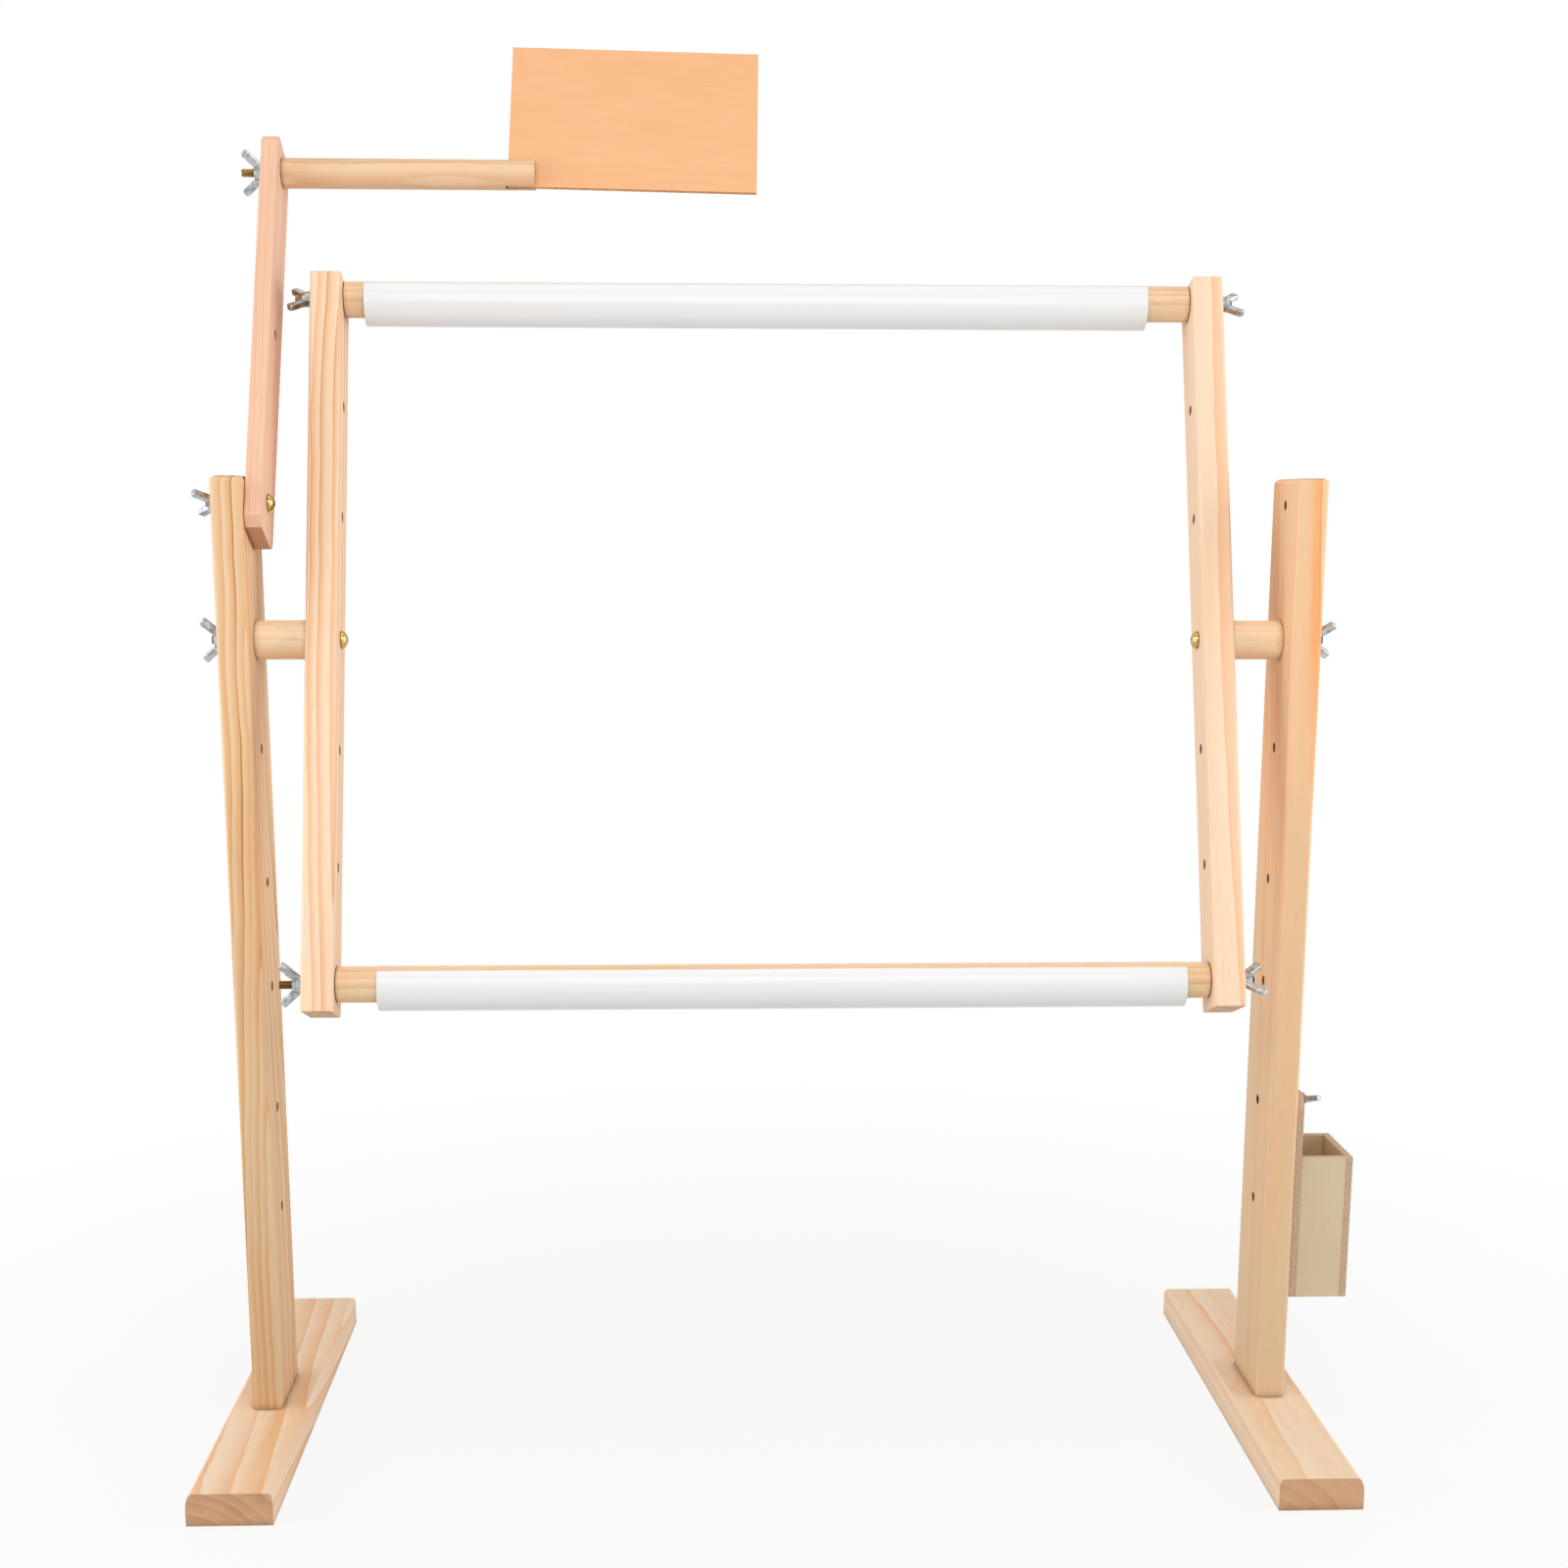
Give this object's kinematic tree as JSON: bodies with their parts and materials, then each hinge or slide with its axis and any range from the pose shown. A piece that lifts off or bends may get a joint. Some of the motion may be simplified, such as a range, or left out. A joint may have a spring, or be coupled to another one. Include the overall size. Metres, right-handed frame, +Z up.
{
  "type": "embroidery frame stand",
  "caption": "Wooden floor stand with a tilting scroll frame for embroidery, a hinged chart holder on one post and a small open tool box on the other.",
  "frame": {"origin": "middle of the whole stand's footprint box, on the floor", "axes": "+Z up, +Y to the back, away from the person who sews, +X to that person's right"},
  "size_m": [0.7894, 0.378, 0.9576],
  "materials": {
    "pine": "planed pine, unvarnished",
    "pink_wood": "planed fine-grained pinkish wood",
    "ply": "smooth thin plywood",
    "box_ply": "sawn plywood with open edges",
    "white_plastic": "smooth extruded white plastic",
    "grey_zinc": "cast, zinc plated",
    "yellow_zinc": "steel with yellow zinc plating"
  },
  "bodies": {
    "stand": {"foot_left": "pine", "foot_right": "pine", "post_left": "pine", "post_right": "pine", "foot_screw_left_front": "yellow_zinc", "foot_screw_left_rear": "yellow_zinc", "foot_screw_right_front": "yellow_zinc", "foot_screw_right_rear": "yellow_zinc", "spacer_left": "pine", "spacer_right": "pine", "pivot_bolt_left": "yellow_zinc", "pivot_bolt_right": "yellow_zinc", "chart_arm_bolt": "yellow_zinc", "box_bolt": "yellow_zinc"},
    "tilt_frame": {"side_bar_left": "pine", "side_bar_right": "pine"},
    "scroll_rod_top": {"scroll_rod_top": "pine", "fabric_clip_top": "white_plastic", "rod_stud_top_left": "yellow_zinc", "rod_stud_top_right": "yellow_zinc"},
    "scroll_rod_bottom": {"scroll_rod_bottom": "pine", "fabric_clip_bottom": "white_plastic", "rod_stud_bottom_left": "yellow_zinc", "rod_stud_bottom_right": "yellow_zinc"},
    "chart_arm": {"chart_arm": "pink_wood"},
    "chart_holder": {"chart_rod": "pine", "chart_rod_stud": "yellow_zinc", "chart_board": "ply"},
    "tool_box": {"box_back_plate": "box_ply", "box_front_wall": "box_ply", "box_rear_wall": "box_ply", "box_outer_wall": "box_ply", "box_bottom": "box_ply"},
    "pivot_wing_nut_left": {"pivot_wing_nut_left": "grey_zinc"},
    "pivot_wing_nut_right": {"pivot_wing_nut_right": "grey_zinc"},
    "rod_wing_nut_top_left": {"rod_wing_nut_top_left": "grey_zinc"},
    "rod_wing_nut_top_right": {"rod_wing_nut_top_right": "grey_zinc"},
    "rod_wing_nut_bottom_left": {"rod_wing_nut_bottom_left": "grey_zinc"},
    "rod_wing_nut_bottom_right": {"rod_wing_nut_bottom_right": "grey_zinc"},
    "chart_arm_wing_nut": {"chart_arm_wing_nut": "grey_zinc"},
    "chart_rod_wing_nut": {"chart_rod_wing_nut": "grey_zinc"},
    "box_wing_nut": {"box_wing_nut": "grey_zinc"}
  },
  "joints": [
    {"name": "frame_tilt", "type": "hinge", "parent": "stand", "child": "tilt_frame", "pos_m": [0, -0.013, 0.555], "axis": [1, 0, 0], "continuous": true},
    {"name": "top_rod_turn", "type": "hinge", "parent": "tilt_frame", "child": "scroll_rod_top", "pos_m": [0, 0.06236, 0.78023], "axis": [1, 0, 0], "continuous": true},
    {"name": "bottom_rod_turn", "type": "hinge", "parent": "tilt_frame", "child": "scroll_rod_bottom", "pos_m": [0, -0.08677, 0.33452], "axis": [1, 0, 0], "continuous": true},
    {"name": "chart_arm_swing", "type": "hinge", "parent": "stand", "child": "chart_arm", "pos_m": [-0.35085, -0.013, 0.6445], "axis": [1, 0, 0], "range_deg": [-55, 60]},
    {"name": "chart_turn", "type": "hinge", "parent": "chart_arm", "child": "chart_holder", "pos_m": [-0.34515, 0.09766, 0.86644], "axis": [1, 0, 0], "range_deg": [-60, 60]},
    {"name": "tool_box_swing", "type": "hinge", "parent": "stand", "child": "tool_box", "pos_m": [0.35615, -0.013, 0.2325], "axis": [1, 0, 0], "range_deg": [-90, 90]},
    {"name": "pivot_wing_nut_left_turn", "type": "hinge", "parent": "stand", "child": "pivot_wing_nut_left", "pos_m": [-0.38375, -0.013, 0.555], "axis": [1, 0, 0], "continuous": true},
    {"name": "pivot_wing_nut_right_turn", "type": "hinge", "parent": "stand", "child": "pivot_wing_nut_right", "pos_m": [0.36075, -0.013, 0.555], "axis": [1, 0, 0], "continuous": true},
    {"name": "rod_wing_nut_top_left_turn", "type": "hinge", "parent": "scroll_rod_top", "child": "rod_wing_nut_top_left", "pos_m": [-0.32975, 0.06236, 0.78023], "axis": [1, 0, 0], "continuous": true},
    {"name": "rod_wing_nut_top_right_turn", "type": "hinge", "parent": "scroll_rod_top", "child": "rod_wing_nut_top_right", "pos_m": [0.30625, 0.06236, 0.78023], "axis": [1, 0, 0], "continuous": true},
    {"name": "rod_wing_nut_bottom_left_turn", "type": "hinge", "parent": "scroll_rod_bottom", "child": "rod_wing_nut_bottom_left", "pos_m": [-0.32975, -0.08677, 0.33452], "axis": [1, 0, 0], "continuous": true},
    {"name": "rod_wing_nut_bottom_right_turn", "type": "hinge", "parent": "scroll_rod_bottom", "child": "rod_wing_nut_bottom_right", "pos_m": [0.30625, -0.08677, 0.33452], "axis": [1, 0, 0], "continuous": true},
    {"name": "chart_arm_wing_nut_turn", "type": "hinge", "parent": "stand", "child": "chart_arm_wing_nut", "pos_m": [-0.38375, -0.013, 0.6445], "axis": [1, 0, 0], "continuous": true},
    {"name": "chart_rod_wing_nut_turn", "type": "hinge", "parent": "chart_holder", "child": "chart_rod_wing_nut", "pos_m": [-0.36375, 0.09766, 0.86644], "axis": [1, 0, 0], "continuous": true},
    {"name": "box_wing_nut_turn", "type": "hinge", "parent": "stand", "child": "box_wing_nut", "pos_m": [0.36625, -0.013, 0.2325], "axis": [1, 0, 0], "continuous": true}
  ]
}
